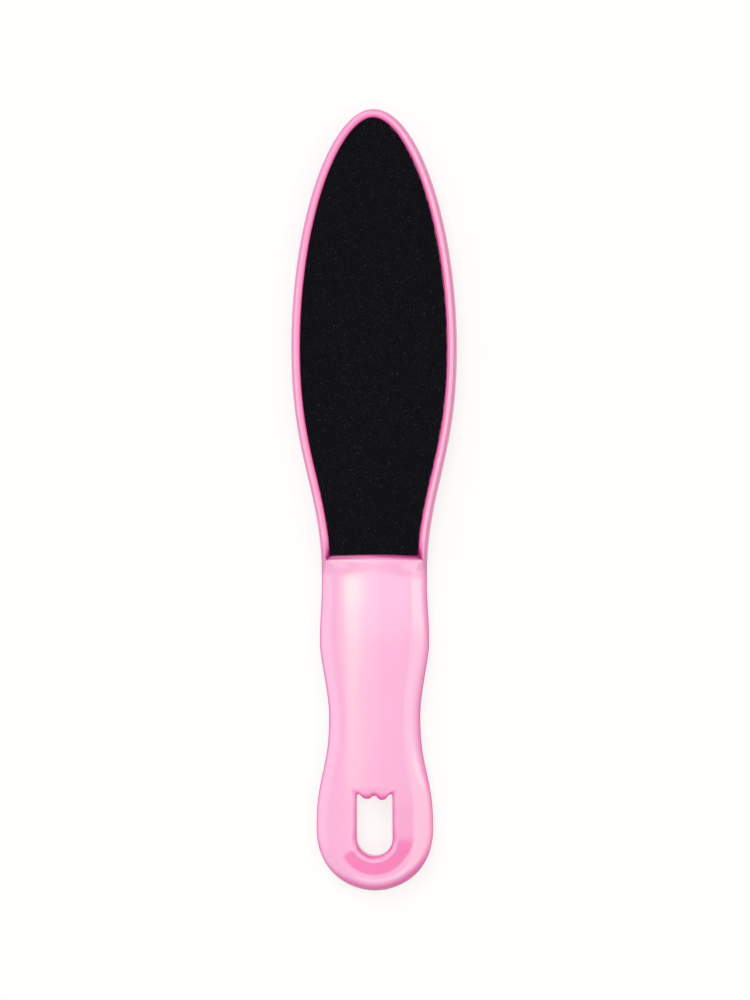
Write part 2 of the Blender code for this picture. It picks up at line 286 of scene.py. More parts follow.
def surfaceHeight(x, y):
    depth = distanceIn(x, y) - paddle["partingRidge"]
    return faceHeight(depth, x, y) + collarRise(x, y)


def stack(x, y, z):
    return np.stack(np.broadcast_arrays(x, y, z), axis=-1).astype(float)


def cutSide(inset, bottom):
    # Right side of the head drawn in by the inset, from the line y = bottom to the tip, with the
    # outline's station at each point and the distance travelled to it
    side = finePoints + inset * fineInward
    side[-1, 0] = 0
    upper = side[:, 1] > max(bottom, neckY)
    cornerX, cornerStation = (np.interp(bottom, side[:, 1], row) for row in (side[:, 0], fineStations))
    side = np.concatenate([[(cornerX, bottom)], side[upper]])
    return side, np.concatenate([[cornerStation], fineStations[upper]]), runAlong(side)


def headSide(inset, bottom):
    # the same side with its points closer together towards the tip, and their stations
    side, stations, run = cutSide(inset, bottom)
    shares = np.linspace(0, 1, paddle["headSteps"] + 1)
    places = run[-1] * (1 - (1 - shares) ** paddle["tipCrowding"])
    x, y, station = (np.interp(places, run, row) for row in (*side.T, stations))
    return np.column_stack([x, y]), station


def bandStations():
    # stations of the outline's points: round the handle's end, along the grip, round the head
    p = paddle
    inner = finePoints + p["bandDepth"] * fineInward
    run = runAlong(inner)
    rungRun = np.interp(p["rungY"], inner[:, 1], run)
    endPart = np.interp(np.linspace(0, rungRun, p["endSteps"] + 1), run, fineStations)
    gripY = np.linspace(p["rungY"], mouthBottom, p["gripSteps"] + 1)
    gripPart = np.interp(gripY, inner[:, 1], fineStations)
    headPart = headSide(p["bandDepth"], mouthBottom)[1]
    return endPart, gripPart, headPart


def bothSides(rings):
    # closed loops from right halves that start and end on the middle line
    return np.concatenate([rings, rings[:, -2:0:-1] * (-1, 1)], axis=1)


def edgeBand(stations):
    # The edge's profile carried round the outline: a small ridge at the parting line, then the
    # superellipse of faceHeight, its points closer together near the ridge
    p = paddle
    points, inward = outlineAt(stations)
    ridge = p["partingRidge"]
    ridgeIn, ridgeUp = np.array(p["ridgeProfile"]) * [[ridge], [p["partingRise"]]]
    shares = np.linspace(0, 1, p["bandSteps"] + 1)[1:]
    depths = np.concatenate([ridgeIn, ridge + (p["bandDepth"] - ridge) * shares**2])
    rings = points + depths[:, None, None] * inward
    rings[:, [0, -1], 0] = 0
    rings = bothSides(rings)
    z = faceHeight(depths[:, None] - ridge, rings[..., 0], rings[..., 1])
    z[: len(ridgeUp)] = ridgeUp[:, None]
    return stack(rings[..., 0], rings[..., 1], z)


def recessLoop(inset, bottom):
    # up the right side, down the left and back along the straight bottom edge
    right = headSide(inset, bottom)[0]
    left = right[-2::-1] * (-1, 1)
    return np.concatenate([right, left, stack(crossShares * right[0, 0], bottom, 0)[:, :2]])


def ladder(right, z):
    # rungs from each point of a right side to its mirror image
    shares = np.linspace(1, -1, paddle["columns"] + 1)
    return stack(right[:, :1] * shares, right[:, 1:], z)


def recessBlocks(floorZ):
    # Rings down the recess: a quarter of an ellipse at the mouth, a wall with a little draft, a
    # small fillet, and a level floor
    p = paddle
    across, down = p["recessBreak"]
    turn = np.linspace(0, math.pi / 2, p["breakSteps"] + 1)
    drafts = p["recessDraft"] * np.array(p["wallDrafts"])
    insets, lipInsets = (
        np.concatenate([width * np.sin(turn), width + drafts]) for width in (across, p["lipBreak"]))
    sides = list(zip(p["bandDepth"] + insets, mouthBottom + lipInsets))
    x, y = np.moveaxis([recessLoop(*side) for side in sides], -1, 0)
    topZ = surfaceHeight(x[0], y[0])
    breakZ = topZ - down * (1 - np.cos(turn))[:, None]
    share = np.array(p["wallDrops"])[:, None]
    wallZ = (topZ - down) * (1 - share) + floorZ * share
    return stack(x, y, np.concatenate([breakZ, wallZ])), ladder(headSide(*sides[-1])[0], floorZ)


def gripBlock(stations):
    # level rungs across the grip, each point as high as surfaceHeight says
    points, inward = outlineAt(stations)
    right = points + paddle["bandDepth"] * inward
    block = ladder(right, 0)
    block[..., 2] = surfaceHeight(block[..., 0], block[..., 1])
    return block


def slotLoop(grow, shares):
    # The slot's outline let out by grow: down the right side, round the end and up the left side at
    # these shares of the way, then along the top, which hangs down in two lobes, 1 - c^(2 fullness),
    # where c is a cosine that is 1 or -1 at the corners and in the middle
    p = paddle
    half = slotRadius + grow
    count = len(shares)
    sideHalf, topHalf = half[:count], half[count:]
    sideRun = slotTopY + grow[:count] - p["slotCorner"] - slotCentreY
    run = np.abs(shares) * (sideHalf * math.pi / 2 + sideRun)
    angle = np.minimum(run / sideHalf, math.pi / 2)
    x = -np.sign(shares) * sideHalf * np.sin(angle)
    y = slotCentreY - sideHalf * np.cos(angle) + np.maximum(run - sideHalf * math.pi / 2, 0)

    way, corner = np.sign(crossShares), p["cornerShare"]
    flat = np.clip(np.abs(crossShares) / (1 - corner), 0, 1)
    turn = np.clip((np.abs(crossShares) - 1 + corner) / corner, 0, 1) * math.pi / 2
    inner = topHalf - p["slotCorner"]
    lobe = p["lobeDepth"] * (1 + p["lobeLean"] * way)
    drop = lobe * (1 - np.abs(np.cos(math.pi * flat)) ** (2 * p["lobeFullness"]))
    drop = drop + p["middleDrop"] * (1 - flat)
    drop = drop * (1 - p["lobeEase"] * grow[count:] / p["mouthTop"][0])
    topX = way * (flat * inner + p["slotCorner"] * np.sin(turn))
    topY = slotTopY + grow[count:] - drop - p["slotCorner"] * (1 - np.cos(turn))
    return np.concatenate([x, topX]), np.concatenate([y, topY])


def mouthSizes(shares):
    # Width and depth of the mouth's rounding at each point of slotLoop: the end's, the side's and the
    # top's, with the mean of the last two at the corners
    p = paddle
    up, corner = (smoothStep(*places, np.abs(shares)) for places in p["mouthTurns"][:2])
    topCorner = smoothStep(*p["mouthTurns"][2], np.abs(crossShares))
    sizes = []
    for end, side, top in zip(p["mouthEnd"], p["mouthSide"], p["mouthTop"]):
        mean = (top + side) / 2
        along = end + (side - end) * up
        along = along + (mean - along) * corner
        sizes.append(np.concatenate([along, top + (mean - top) * topCorner]))
    return sizes


def slotBlocks(stations):
    # Rings from the slot's edge outwards: first a quarter of an ellipse round its mouth, then even
    # steps from there to the band at the outline and the grip's lowest rung
    p = paddle
    points, inward = outlineAt(stations)
    inner = points + p["bandDepth"] * inward
    inner[0, 0] = 0
    right, left = inner[::-1], inner[1:] * (-1, 1)
    rung = stack(crossShares * inner[-1, 0], inner[-1, 1], 0)[:, :2]
    outerX, outerY = np.concatenate([right, left, rung]).T
    run = runAlong(inner)
    shares = np.concatenate([-run[::-1], run[1:]]) / run[-1]
    width, depth = mouthSizes(shares)

    turn = np.linspace(0, math.pi / 2, p["mouthSteps"] + 1)[:, None]
    mouth = [slotLoop(grow, shares) for grow in width * (1 - np.cos(turn))]
    x, y = (np.array(rows) for rows in zip(*mouth))
    drops = depth * (1 - np.sin(turn))
    out = np.linspace(0, 1, p["slotSteps"] + 1)[1:, None]
    x = np.concatenate([x, x[-1] + out * (outerX - x[-1])])
    y = np.concatenate([y, y[-1] + out * (outerY - y[-1])])
    z = surfaceHeight(x, y)
    z[: len(drops)] -= drops
    wall = np.linspace(-1, 1, p["wallSteps"] + 1)[:, None] * z[0]
    return stack(x, y, z), stack(x[0], y[0], wall)


def gridFaces(rows, columns, closed):
    # corners of the faces between neighbouring rows and columns of a grid of points
    row = np.arange(rows - 1)[:, None]
    column = np.arange(columns if closed else columns - 1)
    after = (column + 1) % columns
    corners = [row * columns + column, row * columns + after]
    corners += [corners[1] + columns, corners[0] + columns]
    return np.stack(corners, axis=-1).reshape(-1, 4)


def meshFrom(name, vertices, faces):
    mesh = bpy.data.meshes.new(name)
    mesh.vertices.add(len(vertices))
    mesh.vertices.foreach_set("co", vertices.astype(np.float32).ravel())
    mesh.loops.add(faces.size)
    mesh.loops.foreach_set("vertex_index", faces.astype(np.int32).ravel())
    mesh.polygons.add(len(faces))
    starts = np.arange(len(faces), dtype=np.int32) * faces.shape[1]
    mesh.polygons.foreach_set("loop_start", starts)
    mesh.update(calc_edges=True)
    mesh.validate()
    return mesh


def addPiece(name, mesh, material, slot, *replaced):
    mesh.materials.append(material)
    piece = newObject(name, mesh)
    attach(piece, "root")
    if replaced:
        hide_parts(*replaced)
    print(name, len(mesh.polygons), "faces")


def weldedMesh(name, blocks, sharpAngle):
    # blocks of (grid of points, whether its rows are closed), joined into one closed surface
    vertices, faces, base = [], [], 0
    for grid, closed in blocks:
        rows, columns = grid.shape[:2]
        vertices.append(grid.reshape(-1, 3))
        faces.append(gridFaces(rows, columns, closed) + base)
        base += rows * columns
    mesh = meshFrom(name, toFrame(np.concatenate(vertices)), np.concatenate(faces))
    work = bmesh.new()
    work.from_mesh(mesh)
    bmesh.ops.remove_doubles(work, verts=work.verts, dist=paddle["merge"])
    bmesh.ops.recalc_face_normals(work, faces=work.faces)
    work.to_mesh(mesh)
    loose = sum(1 for edge in work.edges if len(edge.link_faces) != 2)
    work.free()
    if loose:
        raise ValueError(f"{name} isn't closed: {loose} edges")
    mesh.shade_smooth()
    mesh.set_sharp_from_angle(angle=math.radians(sharpAngle))
    return mesh


def meshPoints(mesh):
    # a mesh's vertices back in the drawing's millimetres
    points = np.zeros(len(mesh.vertices) * 3, np.float32)
    mesh.vertices.foreach_get("co", points)
    return points.reshape(-1, 3) / mm - frameShift


def addAttribute(mesh, name, values):
    attribute = mesh.attributes.new(name, "FLOAT", "POINT")
    attribute.data.foreach_set("value", values.astype(np.float32))


# Painted shade, a deeper pink: on a crescent on the slope outside the collar, at the edges, in the recess
paintedShade = {
    "crescent": (2.0, 5.82),  # mm from the slot's edge
    "crescentStart": -62,  # degrees from straight down, to the left
    "crescentEnd": (76, 103),  # degrees over which it fades, to the right
    "crescentCorner": 1.3,  # mm
    "crescentSoft": (0.42, 0.6),  # mm within and past its border over which it fades
    "crescentFlare": (0.9, 50, 90),  # mm that it widens, and the degrees over which it does
    "upSide": 0.2,  # strength of its trace up the slot's right side
    "upSideFrom": (80, 90),  # degrees over which the trace begins
    "upSideEnd": (-8, 2),  # mm from the slot's top, between which it dies out
    "gripReach": (1.1, 2.1),  # mm in from the outline, at the grip's left edge and at its right
    "headReach": 2.2,
    "outerShare": (0.6, 0.74),
    "endShare": 0.74,
    "endReach": (0.9, 3.0),  # mm in from the handle's end, where it starts to fade and where it is gone
    "endFaces": (8, 25, 70),  # degrees to the right that its middle is turned, and over which it narrows
    "slotDepth": 0.95,  # mm down the slot's mouth, where it is full
    "recessDepth": 0.75,  # mm down the recess
    "mouthShares": (0.88, 1.0),  # of the slot and of the recess
    # painted shade: a near-black magenta mixed in on the recess's straight lower end
    "lipShade": 0.8,  # how much darker the recess's straight lower end grows
    "lipShadePlaces": (0.2, 1.1),  # shares of the way across it
    "lipFade": 1.0,  # mm past its ends
    "mouthPowers": (0.42, 0.53, 0.42),  # at the slot's sides and end, at its top, and at the recess
    "mouthChange": (6, 2),  # mm below the slot's top, between which the second takes over
    "mouthMargin": 0.01,  # mm in from the band at the outline, where a mouth may begin
}


def crescentPaintedShade(x, y):
    # Painted shade in a band round the slot's end, rounded at its left end: the distance past its border
    # is that of a rounded box whose axes are the way along the band and the way across it.
    # It fades at the right, and a weaker trace of it runs up the slot's right side.
    t = paintedShade
    out = slotDistance(x, y)
    angle = np.degrees(np.arctan2(x, slotCentreY - y))
    inner, outer = t["crescent"]
    widen, flareFrom, flareTo = t["crescentFlare"]
    outer = outer + widen * smoothStep(flareFrom, flareTo, angle)
    middle, half = (inner + outer) / 2, (outer - inner) / 2
    past = np.radians(t["crescentStart"] - angle) * (slotRadius + middle)
    corner = t["crescentCorner"]
    across = np.maximum(np.abs(out - middle) - half + corner, 0)
    gap = np.hypot(np.maximum(past + corner, 0), across) - corner
    within, beyond = t["crescentSoft"]
    crescent = (1 - smoothStep(-within, beyond, gap)) * (1 - smoothStep(*t["crescentEnd"], angle))
    side = 1 - smoothStep(-within, beyond, np.abs(out - middle) - half)
    fade = smoothStep(*t["upSideFrom"], angle) * (1 - smoothStep(*t["upSideEnd"], y - slotTopY))
    return np.maximum(crescent, t["upSide"] * side * fade)


def edgePaintedShade(x, y, z):
    # Painted shade, a deeper pink strongest at the outline, and across the roundings at the mouths of the
    # slot and the recess: with s as the share of the way down, the strength is (1 - (1 - s)^2)^power, and
    # a power of 1/2 is the share across. It is wider at the grip's right edge and round the handle's end,
    # turned to the right. Also a darker painted shade on the recess's lower end, which grows with that
    # share.
    t, p = paintedShade, paddle
    depth = distanceIn(x, y)
    turned, narrowFrom, narrowTo = t["endFaces"]
    angle = np.degrees(np.arctan2(x, outline["bulb"][0] - y)) - turned
    facing = 1 - smoothStep(narrowFrom, narrowTo, np.abs(angle))
    gripReach = smoothBetween(x, (-p["edgeRolls"][1], p["edgeRolls"][1]), t["gripReach"])
    headPlaces = (neckY, p["recessY"])
    reach = smoothBetween(y, headPlaces, (gripReach, t["headReach"]))
    endStart, endReach = t["endReach"]
    reach = reach + (endReach - reach) * facing
    outerShare = smoothBetween(y, headPlaces, t["outerShare"])
    outerShare = outerShare + (t["endShare"] - outerShare) * facing
    outer = outerShare * (1 - smoothStep(endStart * facing, reach, depth))
    mouthDepth = np.where(y < p["rungY"], t["slotDepth"], t["recessDepth"])
    sunk = np.clip((surfaceHeight(x, y) - np.abs(z)) / mouthDepth, 0, 1)
    sidePower, topPower, recessPower = t["mouthPowers"]
    places = (*(slotTopY - below for below in t["mouthChange"]), p["rungY"], mouthBottom)
    power = smoothBetween(y, places, (sidePower, topPower, topPower, recessPower))
    share = smoothBetween(y, (p["rungY"], mouthBottom), t["mouthShares"])
    square = 1 - (1 - sunk) ** 2
    within = (y < p["rungY"]) | (y > mouthBottom)
    within = within & (depth > p["bandDepth"] + t["mouthMargin"])
    top, beyond = p["recessY"], t["lipFade"]
    lip = smoothStep(mouthBottom - beyond, mouthBottom, y) - smoothStep(top, top + beyond, y)
    shade = t["lipShade"] * lip * within * smoothStep(*t["lipShadePlaces"], np.sqrt(square))
    return np.maximum(outer, share * square**power * within), shade


def makePaddle(material):
    endPart, gripPart, headPart = bandStations()
    stations = np.concatenate([endPart[:-1], gripPart[:-1], headPart])
    floorZ = nodeBox("front_adhesive_film")[0][2] - paddle["floorUnderFilm"]
    recessRings, recessFloor = recessBlocks(floorZ)
    slotFace, slotWall = slotBlocks(endPart)
    front = [
        (edgeBand(stations), True), (recessRings, True), (recessFloor, False),
        (gripBlock(gripPart), False), (slotFace, True),
    ]
    rear = [(grid * (1, 1, -1), closed) for grid, closed in front]
    blocks = front + rear + [(slotWall, True)]
    mesh = weldedMesh("paddleShell", blocks, paddle["sharpAngle"])
    x, y, z = meshPoints(mesh).T
    # masks of painted shade, kept on the mesh for the pink plastic's colour
    edge, shade = edgePaintedShade(x, y, z)
    for name, values in (("crescent", crescentPaintedShade(x, y)), ("edge", edge), ("shade", shade)):
        addAttribute(mesh, name, values)
    addPiece("paddleShell", mesh, material, "pink_plastic", "paddle_body")


# Grit sheets: a coat of resin that dips between the grains, with the larger grains standing out of it
gritSheet = {
    "shift": -0.15,  # mm that the sheet lies off the middle
    "rowStep": 0.5,  # mm between the coat's rows and columns
    "valley": 0.2,  # mm that the resin lies below the grain tips
    "ripple": 0.07,  # mm that it waves
    "ragged": 0.13,  # mm that the cut edge wanders
    "edgeHold": 12,  # the higher, the closer to the edge the wandering keeps
    "edgeCrowding": 0.98,  # of the columns: below 1 they stand closer together at the edges
    "raggedCells": (1.1, 0.9),  # mm, of the wandering across and along
    "rippleCells": (1.3, 0.6),  # mm, of the coat's long and short waves
    "shortWaves": 0.6,  # share of the long ones
    # under the coat: name, slot, mm drawn in from the coat's edge, mm that its own edge wanders
    "layers": {
        "backing_cloth": ("BackingCloth", "backing_cloth", 0.05, 0.05),
        "adhesive_film": ("AdhesiveFilm", "adhesive", 0.3, 0.02),
    },
    "layerStep": 1.2,  # mm between rows
    "layerColumns": 30,
    "sharpAngles": (80, 60),  # degrees, of the coat and of the layers
    "filmSunk": 0.28,  # mm that the film reaches into the plastic under it
    "grainsEvery": {"front": 0.66, "rear": 0.5},  # mm
    "grainSize": {"front": 0.27, "rear": 0.19},  # mm, half a grain's length
    "grainSizes": (0.45, 1.0, 0.8),  # shares of it, and the power that evens them out
    "cornerSpread": (0.6, 1.15),
    "tilt": 0.6,  # radians, at most
    "sunk": 0.12,  # mm below the highest, at most
    "edgeRoom": 0.2,  # mm between a grain and the sheet's edge
    "glintRarity": 12,  # the higher, the fewer bright grains
    "seed": {"front": 11, "rear": 23},
}


def softNoise(x, y, cell, random):
    # smooth noise between -1 and 1: random values on a square lattice of this cell, eased between
    low = np.array([x.min(), y.min()]) - cell
    size = np.ceil((np.array([x.max(), y.max()]) - low) / cell).astype(int) + 2
    lattice = random.uniform(-1, 1, size)
    u, v = (x - low[0]) / cell, (y - low[1]) / cell
    i, j = u.astype(int), v.astype(int)
    s, t = smoothStep(0, 1, u - i), smoothStep(0, 1, v - j)
    near = lattice[i, j] * (1 - s) + lattice[i + 1, j] * s
    far = lattice[i, j + 1] * (1 - s) + lattice[i + 1, j + 1] * s
    return near * (1 - t) + far * t


def sheetSide(inset, bottom, step):
    # right side of the sheet at even steps along it
    side, _, run = cutSide(inset, bottom)
    places = np.linspace(0, run[-1], int(run[-1] / step) + 1)
    return np.column_stack([np.interp(places, run, row) for row in side.T])


def layerBlocks(side, columns, top, bottom, ragged, ripple, random):
    # A ladder of rungs across the sheet, waved by noise, its edge pushed in and out by more noise,
    # with a wall down to the level underside, which is the same ladder again, drawn level
    sheet = gritSheet
    shares = np.linspace(1, -1, columns + 1)
    shares = np.sign(shares) * np.abs(shares) ** sheet["edgeCrowding"]
    x, y = np.broadcast_arrays(side[:, :1] * shares, side[:, 1:])
    nearEdge = np.maximum(np.abs(shares) ** sheet["edgeHold"], (np.arange(len(side)) == 0)[:, None])
    acrossCell, alongCell = sheet["raggedCells"]
    x = x + ragged * nearEdge * softNoise(x, y, acrossCell, random)
    y = y + ragged * nearEdge * softNoise(x, y, alongCell, random)
    longWaves, shortWaves = (softNoise(x, y, cell, random) for cell in sheet["rippleCells"])
    z = top + ripple * (longWaves + sheet["shortWaves"] * shortWaves)
    x[-1], y[-1], z[-1] = x[-1].mean(), y[-1].mean(), z[-1].mean()
    upper = stack(x, y, z)
    lower = stack(x, y, bottom)
    edge, foot = (
        np.concatenate([grid[:, 0], grid[-2::-1, -1], grid[0, -2:0:-1]]) for grid in (upper, lower))
    return [(upper, False), (lower, False), (np.array([edge, (edge + foot) / 2, foot]), True)]


def spun(a, b, angle):
    # each row's points turned in their plane by its angle
    cosine, sine = np.cos(angle)[:, None], np.sin(angle)[:, None]
    return a * cosine - b * sine, a * sine + b * cosine


def makeGrains(face, inset, bottom, top):
    # Irregular octahedra on a jittered lattice: each has its own turn, stretch and six corner lengths
    sheet = gritSheet
    random = np.random.default_rng(sheet["seed"][face] + 1)
    every, size = sheet["grainsEvery"][face], sheet["grainSize"][face]
    border = sheetSide(inset + sheet["edgeRoom"], bottom + sheet["edgeRoom"], sheet["rowStep"])
    halfWidth, low, high = border[:, 0].max(), border[0, 1], border[-1, 1]
    x, y = (grid.ravel() for grid in np.meshgrid(
        np.arange(-halfWidth, halfWidth, every), np.arange(low, high, every)))
    x = x + random.uniform(-0.5, 0.5, len(x)) * every
    y = y + random.uniform(-0.5, 0.5, len(y)) * every
    inside = (np.abs(x) < np.interp(y, border[:, 1], border[:, 0])) & (y > low) & (y < high)
    x, y = x[inside], y[inside]
    count = len(x)
    smallest, largest, power = sheet["grainSizes"]
    size = size * random.uniform(smallest, largest, count) ** power
    corners = np.array([(1, 0, 0), (-1, 0, 0), (0, 1, 0), (0, -1, 0), (0, 0, 1), (0, 0, -1)])
    lengths = random.uniform(*sheet["cornerSpread"], (count, len(corners), 1))
    a, b, c = np.moveaxis(corners * lengths * size[:, None, None], -1, 0)
    turn = random.uniform(0, 2 * math.pi, count)
    tilt = random.uniform(-sheet["tilt"], sheet["tilt"], count)
    b, c = spun(b, c, tilt)
    a, b = spun(a, b, turn)
    seat = top - c.max(1) - random.uniform(0, sheet["sunk"], count) * (size / size.max())
    points = stack(a + x[:, None] + sheet["shift"], b + y[:, None], c + seat[:, None])
    facets = [(0, 2, 4), (2, 1, 4), (1, 3, 4), (3, 0, 4), (2, 0, 5), (1, 2, 5), (3, 1, 5), (0, 3, 5)]
    faces = np.array(facets) + len(corners) * np.arange(count)[:, None, None]
    # a few grains get a high share, painted lighter as painted glints
    glint = random.uniform(0, 1, count) ** sheet["glintRarity"]
    return points.reshape(-1, 3), faces.reshape(-1, 3), np.repeat(glint, len(corners))


def makeSheet(face, materials):
    sheet = gritSheet
    side = 1 if face == "front" else -1
    low, high = nodeBox(f"{face}_grit_coat")
    inset, bottom = headWidth / 2 - (high[0] - low[0]) / 2, low[1]
    random = np.random.default_rng(sheet["seed"][face])
    coatAngle, layerAngle = sheet["sharpAngles"]
    lows, tops = {}, {}
    for layer in ("grit_coat", "backing_cloth", "adhesive_film"):
        lows[layer], tops[layer] = sorted(abs(corner[2]) for corner in nodeBox(f"{face}_{layer}"))
    feet = {
        "grit_coat": tops["backing_cloth"],
        "backing_cloth": tops["adhesive_film"],
        "adhesive_film": lows["adhesive_film"] - sheet["filmSunk"],
    }

    def addLayer(layer, name, slot, blocks, sharpAngle):
        shift, flip = (sheet["shift"], 0, 0), (1, 1, side)
        blocks = [((grid + shift) * flip, closed) for grid, closed in blocks]
        mesh = weldedMesh(f"{face}{name}", blocks, sharpAngle)
        addPiece(f"{face}{name}", mesh, materials[layer], slot, f"{face}_{layer}")

    rows = sheetSide(inset, bottom, sheet["rowStep"])
    columns = int(2 * rows[:, 0].max() / sheet["rowStep"])
    top, foot = tops["grit_coat"] - sheet["valley"], feet["grit_coat"]
    coat = layerBlocks(rows, columns, top, foot, sheet["ragged"], sheet["ripple"], random)
    addLayer("grit_coat", "GritCoat", materials["slot"], coat, coatAngle)

    points, faces, glint = makeGrains(face, inset, bottom, tops["grit_coat"])
    mesh = meshFrom(f"{face}Grains", toFrame(points * (1, 1, side)), faces[:, ::side])
    addAttribute(mesh, "glint", glint)
    addPiece(f"{face}Grains", mesh, materials["grains"], materials["slot"])

    for layer, (name, slot, drawnIn, wander) in sheet["layers"].items():
        rows = sheetSide(inset + drawnIn, bottom + drawnIn, sheet["layerStep"])
        blocks = layerBlocks(rows, sheet["layerColumns"], tops[layer], feet[layer], wander, 0, random)
        addLayer(layer, name, slot, blocks, layerAngle)


def newNode(tree, kind, inputs=None, **settings):
    # a node with its settings, its sockets given a value or joined to another node's output
    node = tree.nodes.new(kind)
    node.location = (200 * (len(tree.nodes) % 8), -260 * (len(tree.nodes) // 8))
    for name, value in settings.items():
        setattr(node, name, value)
    for name, value in (inputs or {}).items():
        if isinstance(value, bpy.types.NodeSocket):
            tree.links.new(value, node.inputs[name])
        else:
            node.inputs[name].default_value = value
    return node


def calculate(tree, operation, first, second, clamp=False):
    values = {0: first, 1: second}
    return newNode(tree, "ShaderNodeMath", values, operation=operation, use_clamp=clamp).outputs[0]


def mixColour(tree, factor, first, second):
    return newNode(tree, "ShaderNodeMix", {0: factor, 6: first, 7: second}, data_type="RGBA").outputs[2]


def mapRange(tree, value, fromRange, toRange):
    (fromLow, fromHigh), (toLow, toHigh) = fromRange, toRange
    return newNode(tree, "ShaderNodeMapRange", {
        "Value": value, "From Min": fromLow, "From Max": fromHigh,
        "To Min": toLow, "To Max": toHigh}).outputs[0]


def noiseFrom(tree, coords, scale, detail):
    values = {"Vector": coords, "Scale": scale, "Detail": detail}
    return newNode(tree, "ShaderNodeTexNoise", values).outputs["Fac"]


def placeGroup(tree, group, inputs):
    return newNode(tree, "ShaderNodeGroup", inputs, node_tree=group).outputs


def feed(tree, node, outputs):
    # other nodes' outputs joined to a node's inputs, by name
    for name, output in outputs.items():
        tree.links.new(output, node.inputs[name])


def newMaterial(name, fixed):
    # a material, its shader set to the fixed values, and its Object coordinates
    material = bpy.data.materials.new(name)
    material.use_nodes = True
    tree = material.node_tree
    shader = tree.nodes["Principled BSDF"]
    shader.location = (1800, 0)
    tree.nodes["Material Output"].location = (2150, 0)
    for socketName, value in fixed.items():
        shader.inputs[socketName].default_value = value
    return material, tree, shader, newNode(tree, "ShaderNodeTexCoord").outputs["Object"]


def newGroup(name, inputs, outputs):
    # inputs and outputs are the sockets' names and kinds
    group = bpy.data.node_groups.new(name, "ShaderNodeTree")
    for direction, sockets in (("INPUT", inputs), ("OUTPUT", outputs)):
        for socketName, kind in sockets.items():
            socketType = f"NodeSocket{kind}"
            group.interface.new_socket(socketName, in_out=direction, socket_type=socketType)
    entry = group.nodes.new("NodeGroupInput")
    leave = group.nodes.new("NodeGroupOutput")
    entry.location, leave.location = (-300, 0), (1900, 0)
    return group, entry.outputs, leave


def mottleGroup():
    # a colour that drifts darker and lighter in soft clouds, and the cloud's own value
    group, entry, leave = newGroup(
        "mottle",
        {"Vector": "Vector", "Color": "Color", "Scale": "Float", "Amount": "Float"},
        {"Color": "Color", "Value": "Float"},
    )
    cloud = noiseFrom(group, entry["Vector"], entry["Scale"], 3.0)
    drift = calculate(group, "MULTIPLY", calculate(group, "ADD", cloud, -0.5), entry["Amount"])
    shaded = newNode(group, "ShaderNodeVectorMath", {
        0: entry["Color"], 1: calculate(group, "ADD", drift, 1.0)}, operation="MULTIPLY")
    feed(group, leave, {"Color": shaded.outputs[0], "Value": cloud})
    return group


def addClouds(tree, mottle, coords, colour, clouds):
    return placeGroup(tree, mottle, {
        "Vector": coords, "Color": colour, "Scale": clouds[0], "Amount": clouds[1]})


def addBump(tree, shader, height, strength, distance):
    values = {"Height": height, "Strength": strength, "Distance": distance}
    feed(tree, shader, {"Normal": newNode(tree, "ShaderNodeBump", values).outputs[0]})


# Pink plastic
pinkPlastic = {
    "colour": (0.965, 0.435, 0.727, 1),
    # the next three colours are painted shade: deeper pinks mixed in over the crescent round the slot and
    # at the edges and mouths, and a near-black magenta on the recess's lower end
    "crescentShadeColour": (0.94, 0.2, 0.52, 1),
    "edgeShadeColour": (0.79, 0.05, 0.36, 1),
    "shadeColour": (0.2, 0, 0.1, 1),
    "clouds": (45.0, 0.04),  # scale and amount
    "smudges": (0.35, 0.65),  # of the clouds, over which the roughness grows
    "roughness": (0.1, 0.15),
    "scratchScale": (1600, 90, 1600),
    "scratches": (0.62, 0.72),  # of the noise, over which a scratch comes up
    "scratchRoughness": (0, 0.06),  # added to the roughness
    "peelScale": 900.0,
    "peelHeight": 0.0000012,  # m
    "coat": (0.8, 0.1),  # on the faces and at the edges
    "grazing": (0.6, 0.9),  # of Facing, over which the gloss falls
    "grazingCoat": (1, 0.3),
    "specular": (0.5, 0.15),
    "fixed": {
        "Coat Roughness": 0.05,
        "Subsurface Weight": 0.12,
        "Subsurface Radius": (1.0, 0.35, 0.55),
        "Subsurface Scale": 0.0015,
    },
}


def makePinkPlastic(mottle):
    look = pinkPlastic
    material, tree, shader, coords = newMaterial("pinkPlastic", look["fixed"])
    crescent, edge, shade = (
        newNode(tree, "ShaderNodeAttribute", attribute_name=name).outputs["Fac"]
        for name in ("crescent", "edge", "shade")
    )
    # painted shade: the pink deepens over the crescent, the edges and the mouths, and darkens on the
    # recess's lower end
    colour = mixColour(tree, crescent, look["colour"], look["crescentShadeColour"])
    colour = mixColour(tree, edge, colour, look["edgeShadeColour"])
    colour = mixColour(tree, shade, colour, look["shadeColour"])
    clouds = addClouds(tree, mottle, coords, colour, look["clouds"])

    stretched = newNode(tree, "ShaderNodeMapping", {"Vector": coords, "Scale": look["scratchScale"]})
    scratches = noiseFrom(tree, stretched.outputs[0], 1.0, 2.0)
    lines = mapRange(tree, scratches, look["scratches"], look["scratchRoughness"])
    smudges = mapRange(tree, clouds["Value"], look["smudges"], look["roughness"])
    peel = noiseFrom(tree, coords, look["peelScale"], 1.0)
    addBump(tree, shader, peel, 1.0, look["peelHeight"])

    # seen at a grazing angle the gloss is held back, so that the pink doesn't wash out
    facing = newNode(tree, "ShaderNodeLayerWeight", {"Blend": 0.5}).outputs["Facing"]
    left = mapRange(tree, facing, look["grazing"], look["grazingCoat"])
    coat = mapRange(tree, edge, (0, 1), look["coat"])
    feed(tree, shader, {
        "Base Color": clouds["Color"],
        "Roughness": calculate(tree, "ADD", smudges, lines),
        "Coat Weight": calculate(tree, "MULTIPLY", coat, left),
        "Specular IOR Level": mapRange(tree, facing, look["grazing"], look["specular"]),
    })
    return material


